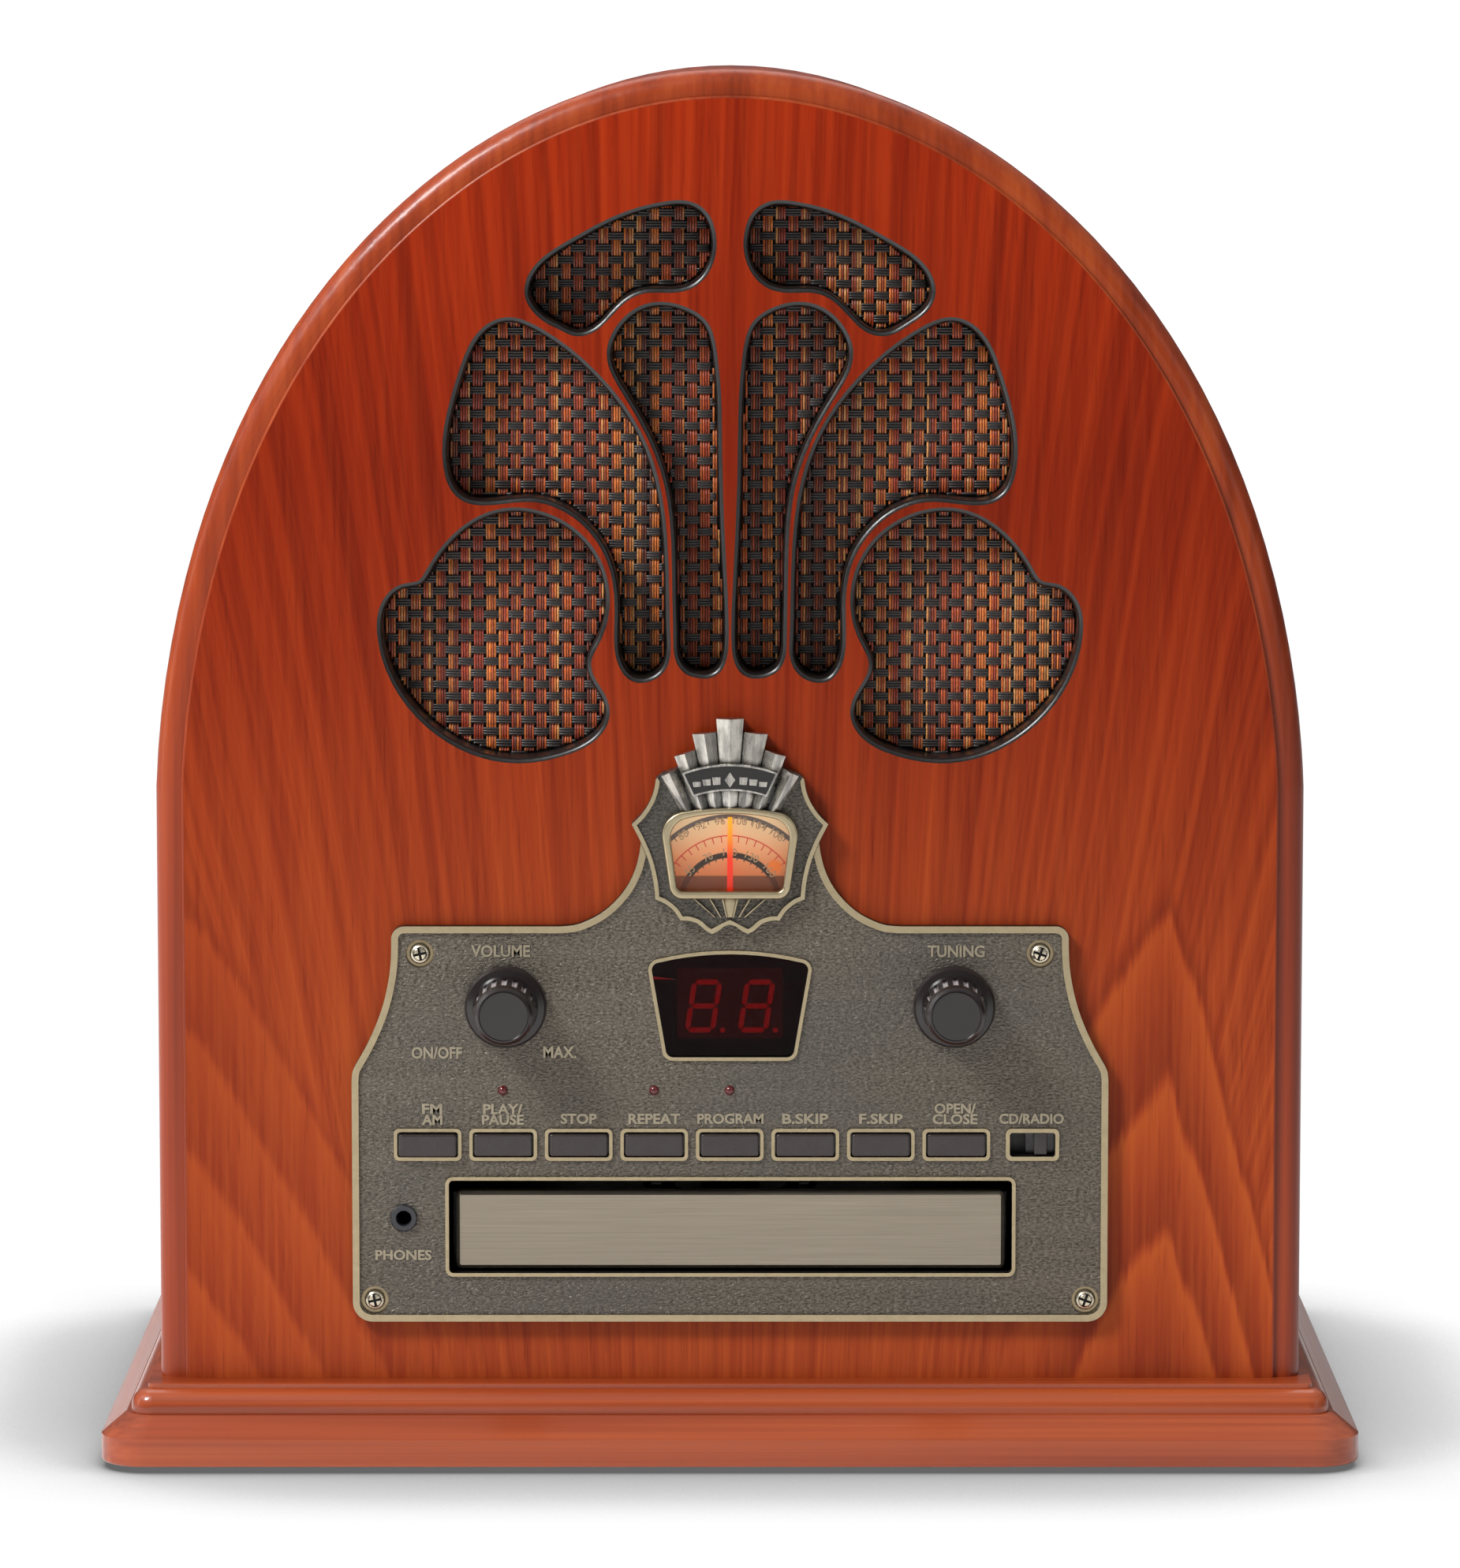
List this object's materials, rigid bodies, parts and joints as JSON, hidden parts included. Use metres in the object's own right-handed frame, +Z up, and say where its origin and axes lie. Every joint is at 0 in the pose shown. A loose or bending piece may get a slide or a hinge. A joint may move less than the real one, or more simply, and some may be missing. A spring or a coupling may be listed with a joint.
{
  "type": "cathedral radio",
  "caption": "Arched wooden table radio with fretwork grille over cloth, backlit dial, control plate, knobs, push buttons, digit display and a sliding disc tray.",
  "frame": {"origin": "on the floor at the centre of the overall width and depth", "axes": "+X to the listener's right, the front faces -Y, +Z up"},
  "size_m": [0.3044, 0.2174, 0.3365],
  "materials": {
    "cherry_veneer": "satin gloss lacquer",
    "plain_timber": "raw",
    "hardboard": "matte",
    "woven_cloth": "woven",
    "black_rubber": "matte",
    "plated_screw": "nickel",
    "stamped_steel": "satin black",
    "bright_steel": "zinc plated",
    "paper_cone": "pressed paper",
    "ferrite": "matte",
    "pewter_plate": "antique pewter, leather grain",
    "champagne_trim": "metallised champagne",
    "clear_lens": "polished",
    "smoked_window": "polished",
    "dial_print": "backlit print",
    "pointer_red": "gloss",
    "dark_knob": "semi gloss",
    "black_plastic": "satin",
    "cream_plastic": "satin",
    "drive_cord": "braided",
    "capacitor_can": "satin",
    "led_red": "translucent",
    "circuit_board": "solder mask"
  },
  "bodies": {
    "cabinet": {"base_plinth": "cherry_veneer", "base_feet": "black_rubber", "cabinet_shell": "cherry_veneer", "front_panel": "cherry_veneer", "rear_frame": "plain_timber", "back_cover": "hardboard", "back_screws": "plated_screw", "grille_cloth": "woven_cloth", "speaker_baffle": "plain_timber", "speaker_frames": "stamped_steel", "speaker_cones": "paper_cone", "speaker_magnets": "ferrite", "speaker_screws": "plated_screw", "faceplate": "pewter_plate", "faceplate_screws": "plated_screw", "escutcheon": "pewter_plate", "sunburst_crest": "champagne_trim", "dial_bezel": "champagne_trim", "crest_plaque": "champagne_trim", "dial_lens": "clear_lens", "dial_scale": "dial_print", "dial_cord": "drive_cord", "dial_bracket": "bright_steel", "dial_lamp": "cream_plastic", "tuning_capacitor": "capacitor_can", "volume_control": "capacitor_can", "display_window": "smoked_window", "display_module": "led_red", "indicator_leds": "led_red", "control_board": "circuit_board", "button_switches": "black_plastic", "selector_switch": "black_plastic", "headphone_jack": "bright_steel", "cd_chassis": "black_plastic", "cd_clamp_bridge": "bright_steel", "main_board": "circuit_board", "transformer": "bright_steel", "power_cord": "black_plastic", "antenna_wire": "black_plastic"},
    "volume": {"volume_knob": "dark_knob"},
    "tuning": {"tuning_knob": "dark_knob", "tuning_shaft": "bright_steel"},
    "pointer": {"dial_pointer": "pointer_red", "pointer_drum": "cream_plastic"},
    "selector": {"selector_slider": "dark_knob"},
    "tray": {"cd_tray": "black_plastic", "cd_tray_door": "champagne_trim"},
    "loading_gear": {"cd_loading_gear": "cream_plastic"},
    "traverse": {"cd_traverse": "bright_steel"},
    "turntable": {"cd_turntable": "black_plastic"},
    "pickup": {"cd_pickup_sled": "black_plastic"},
    "clamp": {"cd_clamp": "black_plastic"},
    "band_button_cap": {"band_button": "dark_knob"},
    "play_button_cap": {"play_button": "dark_knob"},
    "stop_button_cap": {"stop_button": "dark_knob"},
    "repeat_button_cap": {"repeat_button": "dark_knob"},
    "program_button_cap": {"program_button": "dark_knob"},
    "skip_back_button_cap": {"skip_back_button": "dark_knob"},
    "skip_forward_button_cap": {"skip_forward_button": "dark_knob"},
    "open_button_cap": {"open_button": "dark_knob"}
  },
  "joints": [
    {"name": "cd_tray_slide", "type": "slide", "parent": "cabinet", "child": "tray", "axis": [0, -1, 0], "range_m": [0, 0.126]},
    {"name": "clamp_spin", "type": "hinge", "parent": "cabinet", "child": "clamp", "pos_m": [0, -0.0217, 0.065], "axis": [0, 0, 1], "continuous": true},
    {"name": "dial_pointer_sweep", "type": "hinge", "parent": "cabinet", "child": "pointer", "pos_m": [0, -0.0887, 0.136], "axis": [0, 1, 0], "range_deg": [-45, 45]},
    {"name": "loading_gear_spin", "type": "hinge", "parent": "cabinet", "child": "loading_gear", "pos_m": [-0.044, -0.0667, 0.052], "axis": [0, 0, 1], "range_deg": [0, 722]},
    {"name": "pickup_slide", "type": "slide", "parent": "traverse", "child": "pickup", "axis": [0, 1, 0], "range_m": [0, 0.03]},
    {"name": "selector_slide", "type": "slide", "parent": "cabinet", "child": "selector", "axis": [1, 0, 0], "range_m": [-0.0041, 0]},
    {"name": "traverse_tilt", "type": "hinge", "parent": "cabinet", "child": "traverse", "pos_m": [0, 0.0483, 0.05], "axis": [1, 0, 0], "range_deg": [0, 4.5]},
    {"name": "tuning_turn", "type": "hinge", "parent": "cabinet", "child": "tuning", "pos_m": [0.0541, -0.0987, 0.1114], "axis": [0, 1, 0], "range_deg": [-300, 300]},
    {"name": "turntable_spin", "type": "hinge", "parent": "traverse", "child": "turntable", "pos_m": [0, -0.0217, 0.055], "axis": [0, 0, 1], "continuous": true},
    {"name": "volume_turn", "type": "hinge", "parent": "cabinet", "child": "volume", "pos_m": [-0.0541, -0.0987, 0.1114], "axis": [0, 1, 0], "range_deg": [0, 300]},
    {"name": "band_button_press", "type": "slide", "parent": "cabinet", "child": "band_button_cap", "axis": [0, 1, 0], "range_m": [0, 0.0025], "stiffness_N_per_m": 250, "springref_m": -0.0005},
    {"name": "play_button_press", "type": "slide", "parent": "cabinet", "child": "play_button_cap", "axis": [0, 1, 0], "range_m": [0, 0.0012], "stiffness_N_per_m": 600, "springref_m": -0.0005},
    {"name": "stop_button_press", "type": "slide", "parent": "cabinet", "child": "stop_button_cap", "axis": [0, 1, 0], "range_m": [0, 0.0012], "stiffness_N_per_m": 600, "springref_m": -0.0005},
    {"name": "repeat_button_press", "type": "slide", "parent": "cabinet", "child": "repeat_button_cap", "axis": [0, 1, 0], "range_m": [0, 0.0012], "stiffness_N_per_m": 600, "springref_m": -0.0005},
    {"name": "program_button_press", "type": "slide", "parent": "cabinet", "child": "program_button_cap", "axis": [0, 1, 0], "range_m": [0, 0.0012], "stiffness_N_per_m": 600, "springref_m": -0.0005},
    {"name": "skip_back_button_press", "type": "slide", "parent": "cabinet", "child": "skip_back_button_cap", "axis": [0, 1, 0], "range_m": [0, 0.0012], "stiffness_N_per_m": 600, "springref_m": -0.0005},
    {"name": "skip_forward_button_press", "type": "slide", "parent": "cabinet", "child": "skip_forward_button_cap", "axis": [0, 1, 0], "range_m": [0, 0.0012], "stiffness_N_per_m": 600, "springref_m": -0.0005},
    {"name": "open_button_press", "type": "slide", "parent": "cabinet", "child": "open_button_cap", "axis": [0, 1, 0], "range_m": [0, 0.0012], "stiffness_N_per_m": 600, "springref_m": -0.0005}
  ],
  "couplings": [
    {"joint": "dial_pointer_sweep", "follows": "tuning_turn", "ratio": 0.15},
    {"joint": "loading_gear_spin", "follows": "cd_tray_slide", "rad_per_m": 100},
    {"joint": "clamp_spin", "follows": "turntable_spin", "ratio": 1}
  ]
}
